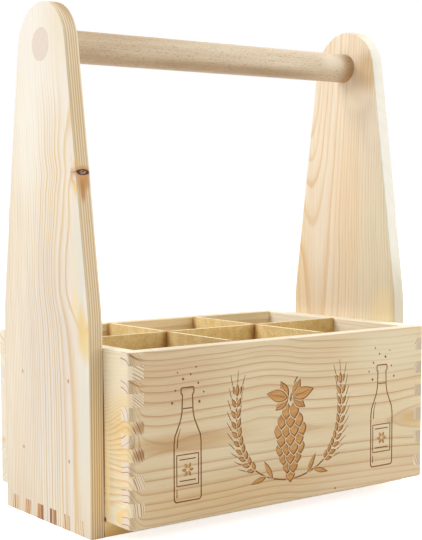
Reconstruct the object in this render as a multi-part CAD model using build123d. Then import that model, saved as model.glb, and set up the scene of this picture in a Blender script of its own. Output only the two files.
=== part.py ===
from build123d import *
import os
from math import acos, atan2, cos, hypot, sin

# A wooden caddy for six bottles. A finger-jointed pine box stands on a base board. The base
# board is finger-jointed into two tapered uprights, and a round beech bar joins their tops.
# Three hardboard dividers, half-lapped across each other, lift out of the box.
# Lengths are in millimetres: X runs along the bar, Y from front to back and Z up. The origin
# is the middle of the base board's underside, on the ground.

# The bottle box: four boards with finger joints at the corners
box_length = 304
box_depth = 200
box_height = 130
box_board = 12
finger_pitch = 10
corner_radius = 5
rim_easing = 1.2
foot_easing = 1.8

# The box's floor: a sheet let into grooves that stop short of the corners
floor_thickness = 3
floor_raise = 4
groove_depth = 5
groove_play = 0.2

# The base board and the two uprights
base_thickness = 12
upright_thickness = 12
upright_width = 130
upright_height = 400
shoulder_height = 162
shoulder_radius = 200
crown_radius = 36
upright_easing = 1

# The handle bar, glued into bores through both uprights
bar_diameter = 25
bar_drop = 32
bar_glue_film = 0.05

# The dividers
divider_thickness = 3
divider_end_play = 0.5
lap_play = 0.25

# The brads, T-headed, driven through each upright into the box's end board
brad_spacing = 70
brad_below_rim = 27
brad_above_base = 42
brad_bite = 8
brad_shank = 1.2
brad_head_width = 1.6
brad_head_height = 2.8
brad_head_depth = 1
brad_sink = 0.4
brad_play = 0.03

# How far a cutting tool runs past the wood it cuts
overrun = 5

# Heights and half sizes that several pieces share
box_bottom = base_thickness
box_top = box_bottom + box_height
half_length = box_length / 2
half_depth = box_depth / 2
half_upright = upright_width / 2
inner_half_length = half_length - box_board
inner_half_depth = half_depth - box_board
outer_face = half_length + upright_thickness
bar_height = upright_height - bar_drop
groove_bottom = box_bottom + floor_raise
floor_top = groove_bottom + floor_thickness


def block(x_span, y_span, z_span):
    """A square-edged block between two values on each axis."""
    spans = (x_span, y_span, z_span)
    corner = [low for low, high in spans]
    sizes = [high - low for low, high in spans]
    return Pos(*corner) * Box(*sizes, align=(Align.MIN, Align.MIN, Align.MIN))


def finger_spans(start, length, first):
    """Every second finger of a joint that has an odd number of equal fingers.

    first is 0 for the board that has the outermost fingers and 1 for its partner.
    """
    count = 2 * round((length / finger_pitch - 1) / 2) + 1
    width = length / count
    return [(start + width * i, start + width * (i + 1)) for i in range(first, count, 2)]


def both_sides(low, high):
    """A span and its mirror image on the other side of zero."""
    return [(low, high), (-high, -low)]


def box_shell():
    """The box's four walls as one rounded ring, from which each board is cut."""
    outer = block((-half_length, half_length), (-half_depth, half_depth), (box_bottom, box_top))
    outer = fillet(outer.edges().filter_by(Axis.Z), corner_radius)
    outer = fillet(outer.faces().sort_by(Axis.Z)[0].outer_wire().edges(), foot_easing)
    outer = fillet(outer.faces().sort_by(Axis.Z)[-1].outer_wire().edges(), rim_easing)
    hollow = block(
        (-inner_half_length, inner_half_length),
        (-inner_half_depth, inner_half_depth),
        (box_bottom - overrun, box_top + overrun),
    )
    ring = outer - hollow
    rim_inside = ring.faces().sort_by(Axis.Z)[-1].inner_wires()[0].edges()
    return fillet(rim_inside, rim_easing)


def floor_sheet(play):
    """The box's floor; with play it is the space that the grooves leave for it."""
    half_x = inner_half_length + groove_depth
    half_y = inner_half_depth + groove_depth
    return block(
        (-half_x - play, half_x + play),
        (-half_y - play, half_y + play),
        (groove_bottom, floor_top + play),
    )


def front_board(shell):
    """The front of the box, with the outermost fingers of each corner."""
    height_span = (box_bottom, box_top)
    board = block((-half_length, half_length), (-half_depth, -inner_half_depth), height_span)
    for low, high in finger_spans(box_bottom, box_height, 1):
        for side in both_sides(inner_half_length, half_length + overrun):
            depth_span = (-half_depth - overrun, -inner_half_depth + overrun)
            board -= block(side, depth_span, (low, high))
    return (shell & board) - floor_sheet(groove_play)


def end_board(shell):
    """The right end of the box, whose fingers fill the gaps of the front and back."""
    board = block(
        (inner_half_length, half_length),
        (-half_depth, half_depth),
        (box_bottom, box_top),
    )
    for low, high in finger_spans(box_bottom, box_height, 0):
        for side in both_sides(inner_half_depth, half_depth + overrun):
            length_span = (inner_half_length - overrun, half_length + overrun)
            board -= block(length_span, side, (low, high))
    return (shell & board) - floor_sheet(groove_play)


def base():
    """The base board, with fingers at both ends that pass through the uprights."""
    height_span = (0, base_thickness)
    board = block((-half_length, half_length), (-half_upright, half_upright), height_span)
    board = fillet(board.edges().filter_by(Axis.X), upright_easing)
    for low, high in finger_spans(-half_upright, upright_width, 1):
        board += block((-outer_face, outer_face), (low, high), height_span)
    return board


def upright_outline():
    """Straight sides, soft shoulders, and a taper that runs smoothly into the round crown."""
    crown_height = upright_height - crown_radius
    fall = shoulder_height - crown_height
    reach = hypot(half_upright, fall)
    touch = atan2(fall, half_upright) + acos(crown_radius / reach)
    touch_y = crown_radius * cos(touch)
    touch_z = crown_height + crown_radius * sin(touch)
    sides = Polyline(
        (-touch_y, touch_z),
        (-half_upright, shoulder_height),
        (-half_upright, 0),
        (half_upright, 0),
        (half_upright, shoulder_height),
        (touch_y, touch_z),
    )
    crown = ThreePointArc((touch_y, touch_z), (0, upright_height), (-touch_y, touch_z))
    outline = make_face(sides + crown)
    shoulders = [
        corner
        for corner in outline.vertices()
        if abs(corner.Y - shoulder_height) < overrun / 2
    ]
    return fillet(shoulders, shoulder_radius)


def brad(play):
    """One brad on the X axis, its head at the right; with play it is the slot it makes."""
    half_shank = brad_shank / 2 + play
    head_outside = outer_face - brad_sink
    head_inside = head_outside - brad_head_depth
    point = half_length - brad_bite
    shank = block((point, head_inside), (-half_shank, half_shank), (-half_shank, half_shank))
    half_width = brad_head_width / 2 + play
    half_height = brad_head_height / 2 + play
    slot_mouth = head_outside + (overrun if play else 0)
    head = block((head_inside, slot_mouth), (-half_width, half_width), (-half_height, half_height))
    return shank + head


def brads(play):
    """The four brads of the right upright."""
    places = [
        (0, side * brad_spacing / 2, height)
        for side in (-1, 1)
        for height in (box_bottom + brad_above_base, box_top - brad_below_rim)
    ]
    return [Pos(*place) * brad(play) for place in places]


def upright():
    """The right upright, with its bore for the bar and gaps for the base board's fingers."""
    board = extrude(Plane.YZ.offset(half_length) * upright_outline(), upright_thickness)
    faces = board.faces().filter_by(Axis.X)
    edges = [edge for edge in faces.edges() if edge.center().Z > 0]
    board = fillet(edges, upright_easing)
    for low, high in finger_spans(-half_upright, upright_width, 1):
        board -= block(
            (half_length - overrun, outer_face + overrun),
            (low, high),
            (-overrun, base_thickness),
        )
    board -= handle_bar(bar_glue_film)
    for slot in brads(brad_play):
        board -= slot
    return board


def handle_bar(play):
    """The bar, flush with both uprights; with play it is the bore that it fills."""
    axis = Plane((0, 0, bar_height), x_dir=(0, 1, 0), z_dir=(1, 0, 0))
    length = 2 * outer_face + (overrun if play else 0)
    return axis * Cylinder(bar_diameter / 2 + play, length)


def divider(length, crossings, slots_at_top):
    """A sheet on edge along X, with a half-lap slot at each crossing."""
    half_thickness = divider_thickness / 2
    sheet = block(
        (-length / 2, length / 2),
        (-half_thickness, half_thickness),
        (floor_top, box_top),
    )
    half_slot = half_thickness + lap_play
    lap_height = (floor_top + box_top) / 2
    slot_span = (lap_height - lap_play, box_top + overrun)
    if not slots_at_top:
        slot_span = (floor_top - overrun, lap_height + lap_play)
    for place in crossings:
        thickness_span = (-half_thickness - overrun, half_thickness + overrun)
        sheet -= block((place - half_slot, place + half_slot), thickness_span, slot_span)
    return sheet


def mirrored(shape):
    """The left-hand copy of a right-hand piece."""
    return mirror(shape, about=Plane.YZ)


shell = box_shell()
front = front_board(shell)
bores = Compound(children=brads(brad_play))
right_end = end_board(shell) - bores
right_upright = upright()
right_brads = Compound(children=brads(0))

# The cross dividers part the box's length in three equal bays, clear of the walls
bay = (2 * inner_half_length - 2 * divider_thickness) / 3
cross_place = (bay + divider_thickness) / 2
long_length = 2 * (inner_half_length - divider_end_play)
cross_length = 2 * (inner_half_depth - divider_end_play)
cross = Rot(0, 0, 90) * divider(cross_length, [0], slots_at_top=False)

nodes = {
    "front_panel": front,
    "back_panel": mirror(front, about=Plane.XZ),
    "left_end_panel": mirrored(right_end),
    "right_end_panel": right_end,
    "box_floor": floor_sheet(0),
    "base_board": base(),
    "left_upright": mirrored(right_upright),
    "right_upright": right_upright,
    "handle_bar": handle_bar(0),
    "long_divider": divider(long_length, [-cross_place, cross_place], slots_at_top=True),
    "left_cross_divider": Pos(-cross_place, 0, 0) * cross,
    "right_cross_divider": Pos(cross_place, 0, 0) * cross,
    "left_upright_brads": mirrored(right_brads),
    "right_upright_brads": right_brads,
}

os.makedirs("parts", exist_ok=True)
for name, piece in nodes.items():
    export_step(piece, "parts/" + name + ".step")
    print(name, len(piece.solids()), round(piece.volume))
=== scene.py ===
import math

import bmesh
import bpy
from mathutils import Matrix, Vector
from mathutils.geometry import delaunay_2d_cdt


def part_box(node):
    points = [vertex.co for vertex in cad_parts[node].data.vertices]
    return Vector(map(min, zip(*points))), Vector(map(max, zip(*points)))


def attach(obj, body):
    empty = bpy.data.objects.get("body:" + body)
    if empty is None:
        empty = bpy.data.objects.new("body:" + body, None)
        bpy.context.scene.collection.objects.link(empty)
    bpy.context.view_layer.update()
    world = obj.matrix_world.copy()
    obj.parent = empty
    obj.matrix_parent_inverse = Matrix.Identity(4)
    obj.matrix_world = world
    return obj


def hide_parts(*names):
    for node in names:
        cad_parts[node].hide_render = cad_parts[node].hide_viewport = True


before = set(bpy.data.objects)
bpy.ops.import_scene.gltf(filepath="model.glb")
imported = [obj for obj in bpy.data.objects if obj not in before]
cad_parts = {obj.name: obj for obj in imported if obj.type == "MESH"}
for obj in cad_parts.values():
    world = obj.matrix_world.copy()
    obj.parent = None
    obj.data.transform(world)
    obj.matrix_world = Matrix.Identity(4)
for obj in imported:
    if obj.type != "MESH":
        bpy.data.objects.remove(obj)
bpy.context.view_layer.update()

# The back and the two ends of the bottle box are planed pine boards, 12 mm thick. Their ends
# are milled into 13 fingers, glued into the next board's gaps, and the corners sanded round.
mm = 0.001
x_axis, y_axis, z_axis = 0, 1, 2
end_face = 152
front_face = -100


def tone(red, green, blue):
    """A colour as read from a swatch, 0 to 255, in the linear values that shaders take."""
    parts = [part / 255 for part in (red, green, blue)]
    linear = [part / 12.92 if part < 0.04 else ((part + 0.055) / 1.055) ** 2.4 for part in parts]
    return (*linear, 1)


def new_material(name):
    """A material whose shader is still to be fed."""
    material = bpy.data.materials.new(name)
    material.use_nodes = True
    return material


def feed(material, node, inputs):
    """Gives a node's inputs their values, or the sockets that feed them."""
    for name, value in inputs.items():
        if isinstance(value, bpy.types.NodeSocket):
            material.node_tree.links.new(value, node.inputs[name])
        else:
            node.inputs[name].default_value = value


def feed_shader(material, inputs):
    """Gives the material's own shader its inputs."""
    feed(material, material.node_tree.nodes["Principled BSDF"], inputs)


def shader_node(material, kind, inputs, **settings):
    """Adds a shader node whose inputs are values or the sockets that feed it."""
    made = material.node_tree.nodes.new("ShaderNode" + kind)
    for name, value in settings.items():
        setattr(made, name, value)
    feed(material, made, inputs)
    return made


def sums(material, operation, *values):
    """One step of arithmetic on values or sockets."""
    return shader_node(material, "Math", dict(enumerate(values)), operation=operation).outputs[0]


def mixed(material, amount, first, second, how="MIX"):
    """One colour over another by an amount."""
    made = shader_node(material, "Mix", {0: amount, 6: first, 7: second},
                       data_type="RGBA", blend_type=how)
    return made.outputs[2]


def stepped(material, value, low, high, low_out=0.0, high_out=1.0):
    """A smooth step from low_out to high_out as the value passes from low to high."""
    inputs = {"Value": value, "From Min": low, "From Max": high,
              "To Min": low_out, "To Max": high_out}
    made = shader_node(material, "MapRange", inputs, interpolation_type="SMOOTHSTEP")
    return made.outputs[0]


def profile(material, value, stops):
    """Reads a brightness off a row of (place, brightness) stops."""
    made = shader_node(material, "ValToRGB", {0: value})
    ramp = made.color_ramp
    ramp.elements[0].position, ramp.elements[0].color = stops[0][0], (*[stops[0][1]] * 3, 1)
    ramp.elements[1].position, ramp.elements[1].color = stops[-1][0], (*[stops[-1][1]] * 3, 1)
    for place, brightness in stops[1:-1]:
        ramp.elements.new(place).color = (*[brightness] * 3, 1)
    return made.outputs[0]


def place_in_board(material, along):
    """The place in the solid wood: along the grain, then the two directions across it."""
    place = shader_node(material, "TexCoord", {})
    split = shader_node(material, "SeparateXYZ", {0: place.outputs["Object"]})
    facing = shader_node(material, "SeparateXYZ", {0: place.outputs["Normal"]})
    order = [along, (along + 1) % 3, (along + 2) % 3]
    end_facing = sums(material, "ABSOLUTE", facing.outputs[along])
    return [split.outputs[i] for i in order], end_facing


def streaks(material, place, along_scale, across_scale, seed, detail=2.0, output="Fac"):
    """Noise drawn out along the grain; the scales are patches per metre."""
    stretched = shader_node(material, "CombineXYZ", {
        0: sums(material, "MULTIPLY", place[0], along_scale),
        1: sums(material, "MULTIPLY", place[1], across_scale),
        2: sums(material, "MULTIPLY", place[2], across_scale)})
    inputs = {"Vector": stretched.outputs[0], "W": seed, "Scale": 1.0, "Detail": detail}
    made = shader_node(material, "TexNoise", inputs, noise_dimensions="4D")
    return made.outputs[output]


def years_grown(material, distance, ring, growth):
    """Counts the years out to a distance: even ones, but for the widths listed in growth."""
    if not growth:
        return sums(material, "DIVIDE", distance, ring)
    inner = sums(material, "MINIMUM", sums(material, "SUBTRACT", distance, growth[0]), 0.0)
    outer = sums(material, "MAXIMUM", sums(material, "SUBTRACT", distance, growth[-1]), 0.0)
    years = sums(material, "DIVIDE", sums(material, "ADD", inner, outer), ring)
    for low, high in zip(growth, growth[1:]):
        part = shader_node(material, "MapRange", {"Value": distance, "From Min": low,
                                                  "From Max": high}).outputs[0]
        years = sums(material, "ADD", years, part)
    return years


def knot_reach(material, place, along, knot, stretch):
    """How far a place is from a knot's core, as a share of the knot's size."""
    squares = []
    for axis, (centre, half) in enumerate(zip(knot["centre"], knot["half"])):
        order = (axis - along) % 3
        if axis != knot["runs"]:
            gap = sums(material, "SUBTRACT", place[order], centre)
            half = half * stretch if order == 0 else half
            squares.append(sums(material, "POWER", sums(material, "DIVIDE", gap, half), 2.0))
    return sums(material, "SQRT", sums(material, "ADD", *squares))


def knot_depth(material, place, along, knot):
    """One where the branch is in the wood, and nothing past its inner end."""
    depth = sums(material, "SUBTRACT", place[(knot["runs"] - along) % 3],
                 knot["centre"][knot["runs"]])
    return stepped(material, depth, knot["ends"] + 2 * mm, knot["ends"])


def knot_colour(material, place, along, knot, seed, colour):
    """Lays a knot over the wood: a tinted flare, then a dark rim round a grey-brown heart."""
    inside = knot_depth(material, place, along, knot)
    flare = stepped(material, knot_reach(material, place, along, knot, knot["flare"]), 1.9, 0.7)
    colour = mixed(material, sums(material, "MULTIPLY", flare, inside), colour, knot["halo"])
    reach = knot_reach(material, place, along, knot, 1.0)
    ragged = streaks(material, place, 500.0, 500.0, seed + 13)
    reach = sums(material, "MULTIPLY_ADD", ragged, 0.5, sums(material, "SUBTRACT", reach, 0.25))
    heart = mixed(material, stepped(material, ragged, 0.42, 0.6), knot["heart"], knot["rim"])
    heart = mixed(material, stepped(material, reach, 0.45, 0.8), heart, knot["rim"])
    core = sums(material, "MULTIPLY", stepped(material, reach, 1.2, 0.95), inside)
    return mixed(material, core, colour, heart)


def pith_course(material, along_place, course, across):
    """Where the pith line passes, across the grain, at a place along it: a curve through stops."""
    start, end = course[0][0], course[-1][0]
    low = min(stop[across] for stop in course) - 5
    high = max(stop[across] for stop in course) + 5
    reach = {"Value": along_place, "From Min": start * mm, "From Max": end * mm}
    share = shader_node(material, "MapRange", reach).outputs[0]
    bend = shader_node(material, "FloatCurve", {"Value": share})
    stops = [((stop[0] - start) / (end - start), (stop[across] - low) / (high - low)) for stop in course]
    points = bend.mapping.curves[0].points
    points[0].location, points[1].location = stops[0], stops[-1]
    for stop in stops[1:-1]:
        points.new(*stop)
    bend.mapping.update()
    return sums(material, "MULTIPLY_ADD", bend.outputs[0], (high - low) * mm, low * mm)


def pine(name, along, course, ring, seed, pale, warm, late, end_pale, end_late, growth=(),
         wobble=4, unevenness=0.6, late_strength=0.8, late_share=0.35, core=0, knots=(), marks=()):
    """Solid pine. Year rings run round a pith line, so every face shows its own true figure.

    along is the axis of the grain. course lists where the pith line passes, in millimetres:
    along the grain, then the two directions across it. ring is a year's growth, and growth
    lists the distances at which chosen years end. Within the core no years show. pale and
    warm are the early wood's tints. A knot pushes the years round it, and one without a rim
    is only such a bend.
    """
    material = new_material(name)
    place, end_facing = place_in_board(material, along)

    # Distance from the pith line, which wanders a little as the trunk did
    wander = streaks(material, place, 5.0, 9.0, seed, 3.0, "Color")
    wander = shader_node(material, "SeparateXYZ", {0: wander})
    squares = []
    for i in (0, 1):
        offset = sums(material, "SUBTRACT", place[i + 1], pith_course(material, place[0], course, i + 1))
        shifted = sums(material, "SUBTRACT", wander.outputs[i], 0.5)
        offset = sums(material, "MULTIPLY_ADD", shifted, wobble * mm, offset)
        squares.append(sums(material, "POWER", offset, 2.0))
    distance = sums(material, "SQRT", sums(material, "ADD", *squares))
    for knot in knots:
        reach = sums(material, "DIVIDE", knot_reach(material, place, along, knot, 1.6), knot["swell"])
        fall = sums(material, "MULTIPLY", sums(material, "POWER", reach, 2.0), -1.0)
        near = sums(material, "EXPONENT", fall)
        distance = sums(material, "MULTIPLY_ADD", near, knot["push"], distance)

    # Each year goes from pale early wood to darker late wood, then starts afresh
    years = years_grown(material, distance, ring * mm, [end * mm for end in growth])
    uneven = shader_node(material, "TexNoise", {"W": sums(material, "MULTIPLY_ADD", years, 0.45, seed),
                                                "Scale": 1.0, "Detail": 1.0},
                         noise_dimensions="1D").outputs["Fac"]
    uneven = sums(material, "SUBTRACT", uneven, 0.5)
    years = sums(material, "MULTIPLY_ADD", uneven, 2 * unevenness, years)
    season = sums(material, "FRACT", years)
    year = sums(material, "ADD", sums(material, "FLOOR", years), seed)
    vigour = shader_node(material, "TexWhiteNoise", {"W": year}, noise_dimensions="1D").outputs[0]
    vigour = sums(material, "MULTIPLY_ADD", vigour, 0.5, 0.5)
    rise = 1 - late_share
    late_wood = profile(material, season, [(0.0, 0.25), (0.05, 0.0), (rise - 0.25, 0.03),
                                           (rise, 0.4), (0.5 + rise / 2, 1.0), (0.97, 0.9), (1.0, 0.25)])
    late_wood = sums(material, "MULTIPLY", late_wood, vigour)
    if core:
        late_wood = sums(material, "MULTIPLY", late_wood,
                         stepped(material, distance, (core - 1) * mm, core * mm))

    # Long faces: tint, rings, fibres and short resin ducts
    patch = stepped(material, streaks(material, place, 3.0, 22.0, seed + 3), 0.35, 0.65)
    colour = mixed(material, patch, pale, warm)
    colour = mixed(material, sums(material, "MULTIPLY", late_wood, late_strength), colour, late)
    fibre = streaks(material, place, 25.0, 1300.0, seed + 5)
    fibre_shade = stepped(material, fibre, 0.3, 0.7, 0.94, 1.04)
    colour = mixed(material, 1.0, colour, fibre_shade, "MULTIPLY")
    duct = stepped(material, streaks(material, place, 110.0, 2200.0, seed + 7, 0.0), 0.74, 0.82)
    colour = mixed(material, sums(material, "MULTIPLY", duct, 0.35), colour, late)

    # End grain: darker, with pores across the rings
    pores = streaks(material, place, 40.0, 2600.0, seed + 11, 1.0)
    end_rings = stepped(material, late_wood, 0.3, 0.75)
    ends = mixed(material, end_rings, end_pale, end_late)
    ends = mixed(material, 1.0, ends, stepped(material, pores, 0.3, 0.7, 0.88, 1.05), "MULTIPLY")
    end_part = stepped(material, end_facing, 0.78, 0.96)
    colour = mixed(material, end_part, colour, ends)
    for mark in marks:
        colour = mark(material, colour)
    for knot in knots:
        if "rim" in knot:
            colour = knot_colour(material, place, along, knot, seed, colour)

    rough = sums(material, "MULTIPLY_ADD", late_wood, -0.08, 0.6)
    rough = sums(material, "MULTIPLY_ADD", end_part, 0.15, rough)
    height = sums(material, "MULTIPLY_ADD", fibre, 0.5, sums(material, "MULTIPLY", late_wood, 0.5))
    bump = shader_node(material, "Bump", {"Height": height, "Strength": 0.35, "Distance": 0.12 * mm})
    feed_shader(material, {"Base Color": colour, "Roughness": rough, "Specular IOR Level": 0.12,
                           "Normal": bump.outputs[0]})
    return material


def tinted(centre, half, colour, amount, how="MIX"):
    """A mark on a board: a soft-edged patch of another tint, used for the wood's own colour and for
    painted light and shade. The place is in millimetres.
    """
    def lay(material, under):
        place = shader_node(material, "TexCoord", {}).outputs["Object"]
        gap = shader_node(material, "VectorMath", {0: place, 1: [part * mm for part in centre]},
                          operation="SUBTRACT").outputs[0]
        gap = shader_node(material, "VectorMath", {0: gap, 1: [part * mm for part in half]},
                          operation="DIVIDE").outputs[0]
        gap = shader_node(material, "VectorMath", {0: gap}, operation="LENGTH").outputs["Value"]
        near = stepped(material, gap, 1.0, 0.25, 0.0, amount)
        return mixed(material, near, under, colour, how)
    return lay


def tinted_side(axis, colour, amount, start=0.5):
    """A mark on a board: another tint on the sides that face along an axis."""
    def lay(material, under):
        facing = shader_node(material, "TexCoord", {}).outputs["Normal"]
        facing = shader_node(material, "SeparateXYZ", {0: facing}).outputs[axis]
        facing = sums(material, "ABSOLUTE", facing)
        return mixed(material, stepped(material, facing, start, start + 0.35, 0.0, amount), under, colour)
    return lay


def finish_with(material, *nodes):
    """Gives CAD pieces their finish."""
    for name in nodes:
        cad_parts[name].material_slots[0].material = material


back_pine = pine("back_pine", x_axis, [(-150, 130, 70), (150, 134, 72)], ring=5.2, seed=21.0,
                 pale=tone(243, 231, 198), warm=tone(238, 219, 175), late=tone(214, 176, 118),
                 end_pale=tone(232, 222, 204), end_late=tone(218, 200, 176),
                 wobble=3, late_strength=0.6, late_share=0.25,
                 marks=[tinted_side(z_axis, tone(224, 207, 180), 0.85)])
finish_with(back_pine, "back_panel")

left_end_growth = (73.2, 74.7, 75.85, 76.85, 78.3, 80.3, 83.6, 85.2, 86.8, 88.1, 89.5, 91.2, 92.9, 95.3,
                   97.2, 98.9, 100.6, 102.3, 104.1, 105.9, 107.8, 110, 111.8, 113.6, 115.5, 118, 121)
# Two bends of the year rings
lines_rise = {"centre": (0, -96 * mm, 102 * mm), "half": (1, 14 * mm, 25 * mm), "runs": x_axis,
              "swell": 1.0, "push": -9 * mm}
lines_fall = {"centre": (0, -96 * mm, 58 * mm), "half": (1, 14 * mm, 8 * mm), "runs": x_axis,
              "swell": 1.0, "push": 1.3 * mm}
left_end_marks = [
    # The rim, duller wood under it, brighter wood lower down and resin at the foot
    tinted_side(z_axis, tone(240, 230, 208), 0.7),
    tinted((-end_face, -84, 122), (6, 40, 34), tone(227, 213, 184), 0.8),
    tinted((-end_face, -90, 80), (6, 22, 45), tone(253, 243, 222), 1.0, "MULTIPLY"),
    tinted((-end_face, -88, 20), (9, 11, 10), tone(244, 206, 124), 0.6),
    # The far corner is greyer, with brown streaks
    tinted((-end_face, 92, 75), (8, 12, 110), tone(220, 212, 198), 0.85),
    tinted((-end_face, 92, 76), (6, 8, 22), tone(240, 216, 188), 0.7),
    tinted((-end_face, 92, 49), (5, 5, 3.5), tone(226, 184, 134), 0.7),
    tinted((-end_face, 92, 38), (5, 4, 3), tone(226, 184, 134), 0.6),
    # Beside the upright: painted light on the board next to it, the painted shadow of a fine gap, and a
    # darker speck at its foot
    tinted((-end_face, -69, 45), (3, 5, 80), tone(255, 226, 168), 0.75),
    tinted((-end_face, -65.2, 75), (2, 1.1, 80), tone(118, 74, 34), 1.0),
    tinted((-end_face, -66, 14), (3, 2, 3), tone(100, 60, 34), 1.0),
    # Two browner fingers in the front corner
    tinted((9 - end_face, front_face, 87), (9, 9, 7), tone(206, 176, 146), 0.9, "MULTIPLY"),
    tinted((9 - end_face, front_face, 67), (9, 9, 7), tone(194, 160, 128), 0.9, "MULTIPLY"),
]
left_end_course = [(-100, 18, -225.5), (-60, 19.2, -227.3), (100, 24, -225)]
left_end_pine = pine("left_end_pine", y_axis, left_end_course, ring=3.0, seed=4.0,
                     pale=tone(232, 219, 190), warm=tone(228, 209, 170), late=tone(219, 170, 98),
                     end_pale=tone(212, 193, 165), end_late=tone(152, 124, 96), growth=left_end_growth,
                     wobble=1.5, unevenness=0.0, late_strength=0.66, late_share=0.4,
                     knots=[lines_rise, lines_fall], marks=left_end_marks)
right_end_marks = [
    tinted_side(z_axis, tone(240, 230, 208), 0.7),
    tinted((end_face - 4, front_face, 85), (14, 4, 110), tone(170, 154, 132), 0.9),
]
right_end_pine = pine("right_end_pine", y_axis, [(-100, 60, 212), (100, 66, 215)], ring=3.0, seed=33.0,
                      pale=tone(252, 246, 228), warm=tone(250, 240, 214), late=tone(234, 206, 158),
                      end_pale=tone(222, 204, 176), end_late=tone(162, 134, 106),
                      wobble=3, late_strength=0.6, marks=right_end_marks)
finish_with(left_end_pine, "left_end_panel")
finish_with(right_end_pine, "right_end_panel")

# The front board is a single flat-sawn pine board with straight, widely spaced late wood, glued
# like the back. A laser has burnt a picture into its face before the box was put together.
def curled(settle, rise, reach, half_width, colour, amount):
    """A mark on the front board: a late-wood line that curls up to the left corner, in mm."""
    def lay(material, under):
        place = shader_node(material, "TexCoord", {}).outputs["Object"]
        place = shader_node(material, "SeparateXYZ", {0: place}).outputs
        inward = sums(material, "ADD", place[x_axis], (end_face - 1) * mm)
        fall = sums(material, "EXPONENT", sums(material, "DIVIDE", inward, -reach * mm))
        height = sums(material, "MULTIPLY_ADD", fall, rise * mm, settle * mm)
        gap = sums(material, "ABSOLUTE", sums(material, "SUBTRACT", place[z_axis], height))
        line = stepped(material, gap, half_width * mm, 0.2 * half_width * mm, 0.0, amount)
        line = sums(material, "MULTIPLY", line, stepped(material, inward, -0.8 * mm, 0.4 * mm))
        line = sums(material, "MULTIPLY", line, stepped(material, inward, 16 * mm, 3 * mm))
        return mixed(material, line, under, colour)
    return lay


front_growth = (20, 25, 29.4, 31.3, 35.2, 39, 45.9, 51.5, 55.5, 60.6, 64.6, 68.2, 71.5)
# The pith: how far along, how far behind the face and how high
front_depth = [(-152, 16, 92), (-149, 23, 83), (-145, 28, 75), (-138, 30.4, 71), (-80, 30.5, 71),
               (-60, 30.3, 71.5), (-44, 30, 72.5), (-26, 29.7, 73), (-8, 30.4, 72), (14, 31.1, 69),
               (50, 31.25, 67), (93, 31.25, 65.5), (115, 31, 65), (128, 30.4, 65), (152, 29.2, 65)]
front_course = [(x, front_face + depth, height) for x, depth, height in front_depth]
front_marks = [
    tinted_side(z_axis, tone(238, 226, 204), 0.7),
    # Cooler wood at the upper left and yellower at the upper right. At the foot it is warmer, and paler
    # on the right with painted bounce light from the floor
    tinted((-115, front_face, 118), (75, 6, 34), tone(248, 241, 236), 1.0, "MULTIPLY"),
    tinted((112, front_face, 125), (75, 6, 34), tone(207, 198, 170), 0.5),
    tinted((95, front_face, 18), (100, 6, 20), tone(214, 190, 162), 0.3),
    tinted((-60, front_face, 26), (120, 6, 18), tone(255, 248, 238), 1.0, "MULTIPLY"),
    # The heart of the board is browner towards both ends
    tinted((-105, front_face, 72), (90, 6, 11), tone(232, 210, 184), 0.8, "MULTIPLY"),
    tinted((140, front_face, 65), (30, 6, 11), tone(240, 214, 176), 0.7, "MULTIPLY"),
    # A pin knot near the lower edge
    tinted((48.5, front_face, 15.6), (1.3, 4, 1.1), tone(120, 84, 54), 1.6),
    # Two years that curl up at the left corner
    curled(134.3, 5.9, 6.5, 1.3, tone(152, 98, 54), 0.9),
    curled(115.8, 5.3, 5.3, 1.1, tone(152, 98, 54), 0.7),
]
# The front's tones are darker than the other boards': painted shade, as its face is turned away from the
# main light.
front_pine = pine("front_pine", x_axis, front_course, ring=5.5, seed=2.0,
                  pale=tone(201, 184, 152), warm=tone(195, 174, 139), late=tone(165, 123, 76),
                  end_pale=tone(228, 212, 190), end_late=tone(176, 120, 82), growth=front_growth,
                  wobble=1.0, unevenness=0.0, late_strength=0.8, late_share=0.17, marks=front_marks)
char_depth = 0.4 * mm
pass_pitch = 0.25 * mm


def scorched(name, seed, fresh, brown):
    """Burnt pine: brown, matt and lined by the laser's passes."""
    material = new_material(name)
    place = place_in_board(material, x_axis)[0]
    depth = stepped(material, streaks(material, place, 60.0, 700.0, seed), 0.35, 0.65)
    colour = mixed(material, depth, fresh, brown)
    passes = sums(material, "SINE", sums(material, "MULTIPLY", place[2], 2 * math.pi / pass_pitch))
    passes = sums(material, "MULTIPLY_ADD", passes, 0.06, 0.06)
    colour = mixed(material, passes, colour, tone(96, 62, 36))
    feed_shader(material, {"Base Color": colour, "Roughness": 0.85, "Specular IOR Level": 0.2})
    return material


light_scorch = scorched("light_scorch", 61.0, fresh=tone(190, 144, 90), brown=tone(172, 126, 74))
dark_scorch = scorched("dark_scorch", 63.0, fresh=tone(150, 102, 56), brown=tone(126, 82, 42))


def leaf(base, tip, width, bulge=0.45, steps=9):
    """A pointed leaf or grain from base to tip, widest at the bulge share of its length."""
    base, tip = Vector(base), Vector(tip)
    length = tip - base
    side = Vector((-length.y, length.x)).normalized() * width / 2
    power = math.log(0.5) / math.log(bulge)
    shares = [step / steps for step in range(1, steps)]
    swell = [math.sin(math.pi * share ** power) for share in shares]
    right = [base + length * share - side * swollen for share, swollen in zip(shares, swell)]
    left = [base + length * share + side * swollen for share, swollen in zip(shares, swell)]
    return [base, *right, tip, *reversed(left)]


def stroke(points, width, end_width=None):
    """A burnt line along points, drawn out from one width to another."""
    points = [Vector(point) for point in points]
    end_width = width if end_width is None else end_width
    right, left = [], []
    for i, point in enumerate(points):
        heading = (points[min(i + 1, len(points) - 1)] - points[max(i - 1, 0)]).normalized()
        share = i / (len(points) - 1)
        half = (width + (end_width - width) * share) / 2
        side = Vector((-heading.y, heading.x)) * half
        right.append(point - side)
        left.append(point + side)
    return [*right, *reversed(left)]


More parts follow.
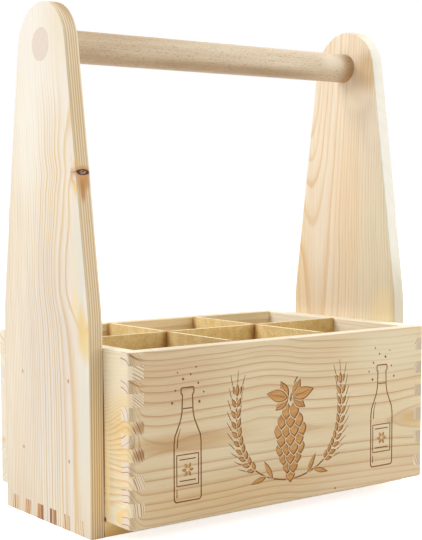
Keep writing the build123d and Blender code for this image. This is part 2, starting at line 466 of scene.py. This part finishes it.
def outlined(points, width):
    """A closed line round a shape: its edge, and the same edge drawn in by the line's width."""
    points = [Vector(point) for point in points]
    inner = []
    for i, point in enumerate(points):
        before = (point - points[i - 1]).normalized()
        after = (points[(i + 1) % len(points)] - point).normalized()
        inward = (Vector((-before.y, before.x)) + Vector((-after.y, after.x))).normalized()
        inner.append(point + inward * width / max(0.5, inward.dot(Vector((-before.y, before.x)))))
    return [points, inner]


def disc(centre, radius, steps=10):
    """A round dot."""
    turns = [2 * math.pi * step / steps for step in range(steps)]
    return [Vector(centre) + radius * Vector((math.cos(turn), math.sin(turn))) for turn in turns]


def flipped(shape):
    """A shape's mirror image about the middle of the board."""
    return [Vector((-point[0], point[1])) for point in reversed(shape)]


def curve(start, handle, end, steps=14):
    """Points on a smooth bend from start to end, drawn towards the handle."""
    start, handle, end = Vector(start), Vector(handle), Vector(end)
    shares = [step / steps for step in range(steps + 1)]
    return [start * (1 - s) ** 2 + handle * 2 * s * (1 - s) + end * s ** 2 for s in shares]


# The picture's sizes are in millimetres from the middle of the face, right and up. Each step
# of it clears the wood, burns it light or burns it dark, over what lies under it.
clear, light_burn, dark_burn = 0, 1, 2
picture = []


def draw(how, *shapes):
    """Adds a step to the picture. Where two of its shapes overlap, the step leaves a hole."""
    picture.append((how, shapes))


def burn_leaf(base, tip, width, bulge=0.45, turned=list):
    """A leaf with a dark outline, and clear wood left round it."""
    base, tip = Vector(base), Vector(tip)
    heading = (tip - base).normalized()
    draw(clear, turned(leaf(base - heading * 0.9, tip + heading * 0.9, width + 1.8, bulge)))
    draw(dark_burn, turned(leaf(base, tip, width, bulge)))
    if width > 2.4:
        inside = leaf(base + heading * 1.1, tip - heading * 1.4, width - 1.3, bulge)
        draw(light_burn, turned(inside))


def on_bottle(middle, *spots):
    """Spots right of and above the middle of a bottle's foot, as they lie on the face."""
    return [(middle + right, bottle_foot + up) for right, up in spots]


# A bottle with a flower on its label stands at each end, with bubbles over its open neck
bottle_middle = 101
bottle_foot = -50
bottle_half = [(11.2, 0), (13, 2), (13, 44), (12.2, 50), (9.4, 56), (6.8, 62), (5.6, 68),
               (5.2, 80), (6.4, 81), (6.4, 85), (5.4, 86)]
other_half = [(-half, up) for half, up in reversed(bottle_half)]
label_low, label_high, label_half = 12, 36, 10.5
label_corners = [(-label_half, label_low), (label_half, label_low),
                 (label_half, label_high), (-label_half, label_high)]
bubbles = ((-11, 74, 1.1), (-15, 81, 0.8), (-10, 88, 0.9), (-3, 95, 0.8), (4, 92, 1.1),
           (11, 84, 0.8), (14, 75, 1.0), (9, 97, 0.6), (-8, 100, 0.7))
for side in (-1, 1):
    middle = side * bottle_middle
    draw(dark_burn, *outlined(on_bottle(middle, *bottle_half, *other_half), 1.1))
    draw(dark_burn, *outlined(on_bottle(middle, *label_corners), 0.9))
    for up in (label_low + 4, label_low + 20):
        draw(dark_burn, stroke(on_bottle(middle, (-7.5, up), (7.5, up)), 0.9))
    flower_middle = Vector(on_bottle(middle, (0, (label_low + label_high) / 2))[0])
    for turn in range(6):
        angle = math.pi / 3 * turn
        petal = Vector((math.cos(angle), math.sin(angle)))
        draw(light_burn, leaf(flower_middle + petal * 1.2, flower_middle + petal * 5.6, 2.6))
    draw(dark_burn, stroke(on_bottle(middle, (-4.2, 70), (4.2, 70)), 0.9))
    draw(dark_burn, stroke(on_bottle(middle, (-9.6, 41), (-9, 49), (-6.6, 55)), 1.0, 0.5))
    draw(dark_burn, stroke(on_bottle(middle, (-10, 4), (-10, 10)), 1.0, 0.6))
    for right, up, radius in bubbles:
        draw(dark_burn, disc(on_bottle(middle, (side * right, up))[0], radius))

# An ear of barley at each side of the middle, its grains in pairs and a beard on each
stem = curve((3, -47), (60, -42), (54, 24))
for turned in (list, flipped):
    draw(dark_burn, turned(stroke(stem, 1.2)))
    for i in range(5, len(stem)):
        heading = (stem[i] - stem[i - 1]).normalized()
        for lean_side in (-1, 1):
            out = Matrix.Rotation(lean_side * math.radians(30), 2) @ heading
            foot = stem[i] + out * 0.9
            tip = foot + out * 8.6
            beard = Matrix.Rotation(-lean_side * math.radians(14), 2) @ out
            draw(dark_burn, turned(stroke([tip, tip + beard * 8.5], 0.8, 0.35)))
            burn_leaf(foot, tip, 3.8, 0.4, turned)
    crown = (stem[-1] - stem[-2]).normalized()
    last_beard = [stem[-1] + crown * 9, stem[-1] + crown * 20]
    draw(dark_burn, turned(stroke(last_beard, 0.8, 0.35)))
    burn_leaf(stem[-1], stem[-1] + crown * 10, 4.0, 0.4, turned)
    burn_leaf(stem[2], stem[2] + Vector((9, 15)), 4.6, 0.45, turned)
    burn_leaf(stem[3], stem[3] + Vector((16, -4)), 4.4, 0.45, turned)

# A hop cone in the middle, its bracts laid like tiles from the tip up, under lobed leaves
cone_rows = [(2, 8.5), (3, 9.6), (4, 9.2), (3, 11.0), (4, 8.4), (3, 8.8), (2, 8.2), (1, 0)]
cone_top, row_drop, bract_length, bract_width = 15, 7.2, 14.5, 9.8
for row in reversed(range(len(cone_rows))):
    count, spacing = cone_rows[row]
    top = cone_top - row * row_drop
    order = sorted(range(count), key=lambda i: -abs(i - (count - 1) / 2))
    for i in order:
        right = (i - (count - 1) / 2) * spacing
        foot = (right * 0.72, top)
        burn_leaf(foot, (right * (1.08 - 0.05 * row), top - bract_length), bract_width, 0.55)
draw(dark_burn, stroke(curve((0, 15), (1, 26), (7, 34)), 1.5, 1.0))
for turned in (list, flipped):
    for turn, length, width in ((-34, 16, 8), (60, 16, 8), (13, 23, 10)):
        angle = math.radians(turn)
        root = Vector((2.4, 18))
        tip = root + length * Vector((math.cos(angle), math.sin(angle)))
        burn_leaf(root, tip, width, 0.45, turned)
        vein = [root + (tip - root) * 0.15, root + (tip - root) * 0.8]
        draw(dark_burn, turned(stroke(vein, 0.8, 0.4)))

# The picture is cut into the flat of the face, and every cut gets a sunk floor and walls
weld_gap = 0.002 * mm
flat_gap = 0.001 * mm
engraved = bmesh.new()
engraved.from_mesh(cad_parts["front_panel"].data)
bmesh.ops.remove_doubles(engraved, verts=engraved.verts, dist=weld_gap)
face_low, face_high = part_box("front_panel")
face_middle = Vector(((face_low.x + face_high.x) / 2, (face_low.z + face_high.z) / 2))
flat = [face for face in engraved.faces
        if max(vert.co.y for vert in face.verts) < face_low.y + flat_gap]
flat_set = set(flat)
rim_next = {}
for face in flat:
    for loop in face.loops:
        if any(other not in flat_set for other in loop.edge.link_faces):
            rim_next[loop.vert] = loop.link_loop_next.vert
rim = [next(iter(rim_next))]
while rim_next[rim[-1]] is not rim[0]:
    rim.append(rim_next[rim[-1]])
points = [Vector((vert.co.x, vert.co.z)) for vert in rim]
outlines = [list(range(len(points)))]
step_of = [None]
for step, (burn, shapes) in enumerate(picture):
    for shape in shapes:
        placed = [face_middle + Vector(point) * mm for point in shape]
        turning = sum(a.cross(b) for a, b in zip(placed, placed[1:] + placed[:1]))
        if turning < 0:
            placed.reverse()
        outlines.append(list(range(len(points), len(points) + len(placed))))
        points += placed
        step_of.append(step)
cut = delaunay_2d_cdt(points, [], outlines, 1, flat_gap)
cut_points, cut_faces, came_from, face_owners = cut[0], cut[2], cut[3], cut[5]
bmesh.ops.delete(engraved, geom=flat, context="FACES_ONLY")
surface = []
for point, sources in zip(cut_points, came_from):
    kept = [source for source in sources if source < len(rim)]
    surface.append(rim[kept[0]] if kept else engraved.verts.new((point.x, face_low.y, point.y)))
sunk = {}
surface_under = {}
for corners, owners in zip(cut_faces, face_owners):
    if 0 not in owners:
        continue
    steps = [step_of[owner] for owner in owners if step_of[owner] is not None]
    last = max([step for step in steps if steps.count(step) % 2], default=None)
    burn = clear if last is None else picture[last][0]
    if burn != clear:
        for corner in corners:
            if corner not in sunk:
                point = cut_points[corner]
                sunk[corner] = engraved.verts.new((point.x, face_low.y + char_depth, point.y))
                surface_under[sunk[corner]] = surface[corner]
    made = engraved.faces.new([sunk[corner] if burn != clear else surface[corner] for corner in corners])
    made.material_index = burn
for face in [face for face in engraved.faces if face.material_index != clear]:
    for edge in [edge for edge in face.edges if len(edge.link_faces) == 1]:
        foot_a, foot_b = edge.verts
        wall = engraved.faces.new([foot_a, foot_b, surface_under[foot_b], surface_under[foot_a]])
        wall.material_index = dark_burn
bmesh.ops.recalc_face_normals(engraved, faces=engraved.faces)
sharp_angle = math.radians(35)
for face in engraved.faces:
    face.smooth = True
for edge in engraved.edges:
    edge.smooth = len(edge.link_faces) == 2 and edge.calc_face_angle() < sharp_angle
engraved_mesh = bpy.data.meshes.new("engraved_front_panel")
engraved.to_mesh(engraved_mesh)
engraved.free()
for wood in (front_pine, light_scorch, dark_scorch):
    engraved_mesh.materials.append(wood)
engraved_front = bpy.data.objects.new("engraved_front_panel", engraved_mesh)
bpy.context.scene.collection.objects.link(engraved_front)
even_shading = engraved_front.modifiers.new("even_shading", "WEIGHTED_NORMAL")
even_shading.keep_sharp = True
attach(engraved_front, "carrier")
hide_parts("front_panel")

# The box floor is a 3 mm sheet of hardboard with a smooth face. It is slid into grooves in the
# four boards before the last corner is glued, and nothing else holds it.
def hardboard(name, seed, face_light, face_dark, edge_light, thin_axis, marks=()):
    """Pressed fibreboard: a smooth mottled face and fuzzy, paler sawn edges."""
    material = new_material(name)
    place = place_in_board(material, x_axis)[0]
    facing = shader_node(material, "TexCoord", {}).outputs["Normal"]
    facing = shader_node(material, "SeparateXYZ", {0: facing}).outputs[thin_axis]
    edge_part = stepped(material, sums(material, "ABSOLUTE", facing), 0.7, 0.4)
    clouds = stepped(material, streaks(material, place, 120.0, 120.0, seed, 5.0), 0.3, 0.7)
    fuzz = streaks(material, place, 800.0, 800.0, seed + 1, 3.0)
    colour = mixed(material, clouds, face_light, face_dark)
    colour = mixed(material, edge_part, colour, edge_light)
    speckle = stepped(material, fuzz, 0.35, 0.65, 0.88, 1.07)
    colour = mixed(material, 1.0, colour, speckle, "MULTIPLY")
    for mark in marks:
        colour = mark(material, colour)
    bump = shader_node(material, "Bump", {"Height": fuzz, "Strength": 0.3, "Distance": 0.1 * mm})
    feed_shader(material, {"Base Color": colour, "Roughness": 0.7, "Specular IOR Level": 0.25,
                           "Normal": bump.outputs[0]})
    return material


floor_board = hardboard("floor_board", seed=71.0, face_light=tone(214, 184, 132),
                        face_dark=tone(202, 170, 116), edge_light=tone(220, 196, 150),
                        thin_axis=z_axis)
finish_with(floor_board, "box_floor")

# The base board is pine, 12 mm thick. Its ends are milled into six fingers, glued flush
# through the feet of both uprights, where their end grain shows.
outer_face = 164
end_grain_browns = [
    # The two fingers beside the middle are the browner heart wood, each with pale lines in it
    tinted((-outer_face, -11.5, 6), (8, 7, 16), tone(192, 154, 128), 0.85, "MULTIPLY"),
    tinted((-outer_face, -6.4, 6), (4, 2.4, 20), tone(146, 98, 70), 1.0),
    tinted((-outer_face, -9.2, 6), (4, 1.6, 20), tone(226, 196, 166), 0.8),
    tinted((-outer_face, 8.5, 6), (8, 6, 16), tone(224, 192, 160), 1.0, "MULTIPLY"),
    tinted((-outer_face, 6.6, 6), (4, 3.4, 20), tone(160, 112, 84), 1.0),
    tinted((-outer_face, 12.6, 6), (4, 2.0, 20), tone(186, 130, 84), 0.9),
    # The others are paler
    tinted((-outer_face, 30, 6), (6, 7, 14), tone(238, 216, 198), 0.9, "MULTIPLY"),
    tinted((-outer_face, -32.5, 6), (6, 4, 16), tone(212, 180, 146), 0.75),
    tinted((-outer_face, -50, 6), (6, 9, 16), tone(232, 213, 183), 0.6),
]
base_pine = pine("base_pine", x_axis, [(-165, -165, 20), (165, -160, 22)], ring=3.3, seed=51.0,
                 pale=tone(252, 225, 166), warm=tone(248, 213, 147), late=tone(226, 172, 102),
                 end_pale=tone(230, 208, 176), end_late=tone(172, 126, 88),
                 wobble=2, unevenness=0.25, late_share=0.5, marks=end_grain_browns)
finish_with(base_pine, "base_board")

# The uprights are two pine boards, sawn to a taper with a round crown and sanded. Each is
# glued over the base board's fingers and bradded to the end of the box.
def lined_side(axis, across, places, width, colour, amount):
    """A mark on a board: late wood in fine lines along a narrow side, at places across it in mm."""
    def lay(material, under):
        place = shader_node(material, "TexCoord", {})
        facing = shader_node(material, "SeparateXYZ", {0: place.outputs["Normal"]}).outputs[axis]
        side = stepped(material, sums(material, "ABSOLUTE", facing), 0.1, 0.4, 0.0, amount)
        solid = shader_node(material, "SeparateXYZ", {0: place.outputs["Object"]}).outputs
        wander = shader_node(material, "TexNoise", {"Vector": place.outputs["Object"], "Scale": 30.0})
        wander = sums(material, "MULTIPLY_ADD", wander.outputs["Fac"], 0.8 * mm, solid[across])
        low, high = places[0] - width, places[-1] + width
        reach = {"Value": wander, "From Min": low * mm, "From Max": high * mm}
        share = shader_node(material, "MapRange", reach).outputs[0]
        stops = [(0.0, 0.0)]
        for line in places:
            for step, brightness in ((-0.6, 0.0), (-0.1, 1.0), (0.15, 0.9), (0.4, 0.0)):
                stops.append(((line + step * width - low) / (high - low), brightness))
        stops.append((1.0, 0.0))
        lines = profile(material, share, stops)
        return mixed(material, sums(material, "MULTIPLY", lines, side), under, colour)
    return lay


# A dead knot runs into the left board's front edge, and the years bow round it
upright_knot = {
    "centre": (-158.1 * mm, -50 * mm, 270.7 * mm), "half": (5.2 * mm, 6 * mm, 2.1 * mm),
    "runs": y_axis, "ends": 7 * mm, "swell": 3.0, "push": 3 * mm, "flare": 1.6,
    "halo": tone(190, 142, 92), "rim": tone(74, 52, 42), "heart": tone(150, 128, 112),
}
line_bow = {"centre": (-outer_face * mm, -41 * mm, 268 * mm), "half": (1, 7 * mm, 20 * mm),
            "runs": x_axis, "swell": 1.0, "push": -5.5 * mm}
left_growth = (29, 32.6, 36.6, 44.3, 50.1, 53.2, 55.9, 58.1, 60.6, 64.1, 67.7, 70.9, 73.8, 77.6)
# The pith: how high, how far inside the outer face and how far back
left_depth = [(0, 41.2, -58), (40, 40.9, -58), (100, 40.2, -58), (145, 37.4, -58), (160, 34.7, -58),
              (175, 29.4, -58), (190, 26.1, -58), (206, 26.6, -58), (222, 29.7, -58), (237, 33, -58),
              (253, 35, -58), (272, 37.2, -56), (290, 39.5, -54), (320, 43.7, -50), (345, 44.3, -46),
              (400, 45.5, -42)]
left_course = [(z, depth - outer_face, y) for z, depth, y in left_depth]
left_marks = [
    # A paler crown in painted light, pale sapwood along the front edge, and yellow resin where the years
    # run out
    tinted((-outer_face, 0, 395), (10, 100, 120), tone(230, 224, 213), 0.8),
    tinted((-outer_face, -52, 200), (6, 14, 62), tone(217, 211, 196), 0.9),
    tinted((-outer_face, -58, 85), (6, 12, 75), tone(218, 212, 197), 0.8),
    tinted((-outer_face, -55, 155), (4, 9, 28), tone(224, 195, 134), 0.85),
    tinted((-outer_face, -61, 147), (4, 8, 24), tone(226, 198, 138), 0.8),
    tinted((-outer_face, -47, 173), (4, 5, 16), tone(234, 208, 152), 0.6),
    tinted((-outer_face, -46, 188), (4, 8, 45), tone(238, 214, 162), 0.3),
    # The narrow front side is darker, warm at the foot and paler over the crown
    tinted_side(y_axis, tone(211, 194, 160), 0.85, 0.1),
    tinted((-158, -68, 50), (14, 6, 120), tone(250, 223, 172), 0.95),
    tinted((-158, -30, 385), (14, 40, 70), tone(221, 206, 178), 0.75),
    tinted((-155, -14, 400), (8, 36, 34), tone(208, 198, 184), 1.0, "MULTIPLY"),
    # Painted light makes the face paler at the back of the taper, and painted shade a little duller lower
    # down
    tinted((-outer_face, 24, 298), (6, 36, 70), tone(235, 230, 219), 0.5),
    tinted((-outer_face, -8, 130), (6, 62, 140), tone(246, 246, 250), 1.0, "MULTIPLY"),
    # Late wood in lines along the front side
    lined_side(y_axis, x_axis, (-161.9, -159.7, -157.7, -155.8, -153.8), 1.6,
               tone(178, 140, 92), 0.75),
    # Brown stains from the knot
    tinted((-158, -50, 264), (8, 9, 10), tone(184, 134, 82), 0.9),
    tinted((-159.5, -52, 257), (3.5, 9, 12), tone(172, 124, 72), 0.85),
    tinted((-162, -47, 276), (4, 6, 6), tone(220, 172, 106), 0.5),
    tinted((-outer_face, -48, 259), (3, 3, 7), tone(232, 196, 120), 0.7),
]
left_upright_pine = pine("left_upright_pine", z_axis, left_course, ring=2.4, seed=9.0,
                         pale=tone(228, 220, 206), warm=tone(225, 212, 195), late=tone(212, 177, 114),
                         end_pale=tone(226, 206, 176), end_late=tone(180, 140, 104), growth=left_growth,
                         wobble=1.2, unevenness=0.0, late_strength=0.95, late_share=0.36,
                         core=35, knots=[line_bow, upright_knot], marks=left_marks)
finish_with(left_upright_pine, "left_upright")

right_growth = (20, 24.8, 30, 38.2, 43, 47.2, 50, 53.5, 56.6, 60, 63, 65.5, 68, 72, 75.8)
# The pith: how high, how far outside the inner face and how far back
right_depth = [(0, 41, 36), (100, 38, 36), (150, 35.8, 35.8), (190, 34, 36.5), (210, 31.8, 38.8),
                (225, 30, 40.5), (260, 25, 42.5), (300, 18, 43.5), (345, 14, 41), (400, 12, 38)]
right_course = [(z, end_face + depth, y) for z, depth, y in right_depth]
right_marks = [
    # Cooler towards the front, yellower towards the back and in the middle
    tinted((end_face, -50, 190), (20, 48, 120), tone(247, 252, 249), 1.0, "MULTIPLY"),
    tinted((end_face, 62, 190), (20, 26, 90), tone(253, 245, 228), 1.0, "MULTIPLY"),
    tinted((end_face, -6, 235), (20, 30, 110), tone(253, 247, 237), 1.0, "MULTIPLY"),
    tinted((end_face, -52, 150), (8, 24, 32), tone(247, 226, 178), 0.5),
    # Painted light below the bar, which pales the shadow it casts, and a painted shadow of the bar beside
    # its bore
    tinted((end_face, -18, 340), (8, 20, 16), tone(254, 236, 208), 0.85),
    tinted((end_face, -38, 318), (8, 14, 26), tone(248, 234, 210), 0.5),
    tinted((end_face, -31, 364), (10, 25, 27), tone(220, 206, 184), 1.0, "MULTIPLY"),
    # The narrow front side is pale, and darker at the foot with painted shade
    tinted_side(y_axis, tone(214, 211, 200), 0.85),
    tinted((158, -66, 140), (16, 10, 130), tone(232, 227, 216), 1.0, "MULTIPLY"),
]
right_upright_pine = pine("right_upright_pine", z_axis, right_course, ring=3.0, seed=15.0,
                          pale=tone(236, 221, 198), warm=tone(233, 213, 184), late=tone(217, 178, 126),
                          end_pale=tone(226, 206, 176), end_late=tone(180, 140, 104), growth=right_growth,
                          wobble=1.2, unevenness=0.0, late_strength=0.6, late_share=0.28,
                          marks=right_marks)
finish_with(right_upright_pine, "right_upright")

# Four T-headed brads, lacquered tan, hold each upright to the box. They are driven home a
# little below the surface.
brad_lacquer = new_material("brad_lacquer")
brad_place = place_in_board(brad_lacquer, x_axis)[0]
scuffs = stepped(brad_lacquer, streaks(brad_lacquer, brad_place, 900.0, 900.0, 81.0), 0.4, 0.6)
lacquer = mixed(brad_lacquer, scuffs, tone(222, 158, 78), tone(182, 122, 54))
feed_shader(brad_lacquer, {"Base Color": lacquer, "Metallic": 0.1, "Roughness": 0.5})
finish_with(brad_lacquer, "left_upright_brads", "right_upright_brads")

# The bar is a turned and sanded beech dowel, 25 mm thick, glued into a bore through each
# upright and trimmed flush outside.
beech = new_material("beech")
beech_place, beech_end = place_in_board(beech, x_axis)
beech_clouds = stepped(beech, streaks(beech, beech_place, 6.0, 60.0, 91.0, 3.0), 0.32, 0.68)
beech_colour = mixed(beech, beech_clouds, tone(206, 190, 164), tone(190, 169, 141))
beech_fibre = streaks(beech, beech_place, 40.0, 1500.0, 92.0)
fibre_shade = stepped(beech, beech_fibre, 0.3, 0.7, 0.92, 1.05)
beech_colour = mixed(beech, 1.0, beech_colour, fibre_shade, "MULTIPLY")
flecks = stepped(beech, streaks(beech, beech_place, 330.0, 1500.0, 93.0, 1.0), 0.56, 0.68)
flecks = sums(beech, "MULTIPLY", flecks, 0.45)
beech_colour = mixed(beech, flecks, beech_colour, tone(140, 106, 74))
beech_streak = stepped(beech, streaks(beech, beech_place, 3.0, 90.0, 95.0, 2.0), 0.55, 0.7)
beech_streak = sums(beech, "MULTIPLY", beech_streak, 0.15)
beech_colour = mixed(beech, beech_streak, beech_colour, tone(160, 126, 92))
bar_marks = [
    # Painted shade along the underside, and at both ends of it
    tinted((0, -4, 359), (190, 16, 7), tone(224, 213, 203), 1.0, "MULTIPLY"),
    tinted((-140, -12, 362.5), (60, 14, 9), tone(237, 230, 226), 1.0, "MULTIPLY"),
    tinted((68, -10, 357.5), (75, 12, 7.5), tone(234, 229, 226), 1.0, "MULTIPLY"),
    # Duller on top at the left, paler near the right upright, and brown with painted shade where it
    # enters the right upright
    tinted((-95, -8, 378.5), (130, 14, 7), tone(235, 230, 221), 1.0, "MULTIPLY"),
    tinted((128, -11, 372), (20, 14, 10), tone(216, 204, 182), 0.6),
    tinted((end_face, -4, 366), (19, 20, 20), tone(228, 187, 145), 0.9, "MULTIPLY"),
]
for mark in bar_marks:
    beech_colour = mark(beech, beech_colour)
beech_pores = stepped(beech, streaks(beech, beech_place, 900.0, 2600.0, 94.0, 1.0), 0.35, 0.65)
beech_ends = mixed(beech, beech_pores, tone(210, 195, 180), tone(222, 208, 195))
beech_colour = mixed(beech, stepped(beech, beech_end, 0.5, 0.8), beech_colour, beech_ends)
beech_bump = shader_node(beech, "Bump",
                         {"Height": beech_fibre, "Strength": 0.3, "Distance": 0.1 * mm})
feed_shader(beech, {"Base Color": beech_colour, "Roughness": 0.5, "Specular IOR Level": 0.12,
                    "Normal": beech_bump.outputs[0]})
finish_with(beech, "handle_bar")

# The dividers are 3 mm hardboard, half-lapped across each other. They are dropped in loose,
# so that they lift out again.
crossings = (-47.2, 47.2)
# Painted shade: the dividers darken to brown where they cross each other and where they meet the box's
# walls.
painted_corner_shade = tone(194, 148, 78)
long_shade_marks = [tinted((x, 0, 80), (10, 4, 200), painted_corner_shade, 0.9, "MULTIPLY") for x in crossings]
cross_shade_marks = [tinted((x, y, 80), (4, 9, 200), painted_corner_shade, 0.9, "MULTIPLY")
             for x in crossings for y in (-88, 0, 88)]
# The long divider's tones are darker than the cross dividers': painted shade, as its faces are turned
# away from the main light.
long_board = hardboard("long_divider_board", seed=101.0, face_light=tone(231, 202, 138),
                       face_dark=tone(217, 184, 118), edge_light=tone(240, 226, 190),
                       thin_axis=y_axis, marks=long_shade_marks)
cross_board = hardboard("cross_divider_board", seed=105.0, face_light=tone(248, 226, 170),
                        face_dark=tone(234, 206, 144), edge_light=tone(240, 226, 190),
                        thin_axis=x_axis, marks=cross_shade_marks)
finish_with(long_board, "long_divider")
finish_with(cross_board, "left_cross_divider", "right_cross_divider")

# The caddy stands on a white studio floor that runs into white air. A window light high behind
# its left end gives most of the light, a softbox lights the front from the right, and a small
# low one the right upright. The camera stands at the front left, a little above the box's rim.
camera_turn = math.radians(-34.92977)
camera_tilt = math.radians(4.89972)
camera_roll = math.radians(-0.37747)
camera_place = Vector((-0.62308, -0.80012, 0.24747))
behind = Vector((math.sin(camera_turn) * math.cos(camera_tilt),
                 -math.cos(camera_turn) * math.cos(camera_tilt),
                 math.sin(camera_tilt)))
rightward = Vector((0, 0, 1)).cross(behind).normalized()
upward = behind.cross(rightward)
rolled = Matrix.Rotation(camera_roll, 3, behind)
rightward = rolled @ rightward
upward = rolled @ upward
camera = bpy.data.objects.new("camera", bpy.data.cameras.new("camera"))
camera.matrix_world = Matrix.Translation(camera_place) @ Matrix(
    (rightward, upward, behind)).transposed().to_4x4()
camera.data.lens = 79.826
camera.data.shift_x = 0.1130
camera.data.shift_y = 0.0669
bpy.context.scene.collection.objects.link(camera)
bpy.context.scene.camera = camera


def looked_at(owner):
    """One for the rays that look at a thing, straight, in a shine or through glass, else nothing."""
    path = shader_node(owner, "LightPath", {})
    seen = path.outputs["Is Camera Ray"]
    for ray in ("Is Glossy Ray", "Is Transmission Ray"):
        seen = sums(owner, "MAXIMUM", seen, path.outputs[ray])
    return seen


floor_reach = 15
floor_gap = 0.05 * mm
floor_whiteness = 0.7
floor_mesh = bpy.data.meshes.new("studio_floor")
floor_corners = [(x * floor_reach, y * floor_reach, 0)
                 for x, y in ((-1, -1), (1, -1), (1, 1), (-1, 1))]
floor_mesh.from_pydata(floor_corners, [], [(0, 1, 2, 3)])
studio_floor = bpy.data.objects.new("studio_floor", floor_mesh)
studio_floor.location.z = -floor_gap
bpy.context.scene.collection.objects.link(studio_floor)
floor_paint = new_material("floor_paint")
floor_glow = sums(floor_paint, "MULTIPLY", looked_at(floor_paint), floor_whiteness)
feed_shader(floor_paint, {"Base Color": tone(246, 246, 246), "Roughness": 0.9,
                          "Specular IOR Level": 0.0, "Emission Color": (1, 1, 1, 1),
                          "Emission Strength": floor_glow})
floor_mesh.materials.append(floor_paint)

# Soft light from all round, with white behind the caddy where the camera looks past it
air_light, air_whiteness = 0.56, 1.0
world = bpy.data.worlds.new("studio_air")
bpy.context.scene.world = world
world.use_nodes = True
air_level = stepped(world, looked_at(world), 0.0, 1.0, air_light, air_whiteness)
feed(world, world.node_tree.nodes["Background"], {"Color": (1, 1, 1, 1), "Strength": air_level})

# Each softbox's place, the point it faces, its width in metres and its power in watts
softboxes = {
    "window_light": ((-1.05, 0.84, 1.53), (0.0, 0.0, 0.2), 1.2, 25.6),
    "front_softbox": ((1.0, -0.4, 1.85), (0.1, 0.0, 0.15), 1.0, 22.6),
    "right_softbox": ((0.55, -0.85, 0.35), (0.16, -0.05, 0.25), 0.5, 3.0),
}
for name, (place, aim, size, power) in softboxes.items():
    softbox = bpy.data.objects.new(name, bpy.data.lights.new(name, "AREA"))
    softbox.data.size = size
    softbox.data.energy = power
    softbox.location = place
    softbox.rotation_euler = (Vector(place) - Vector(aim)).to_track_quat("Z", "Y").to_euler()
    bpy.context.scene.collection.objects.link(softbox)

bpy.context.scene.view_settings.view_transform = "Standard"
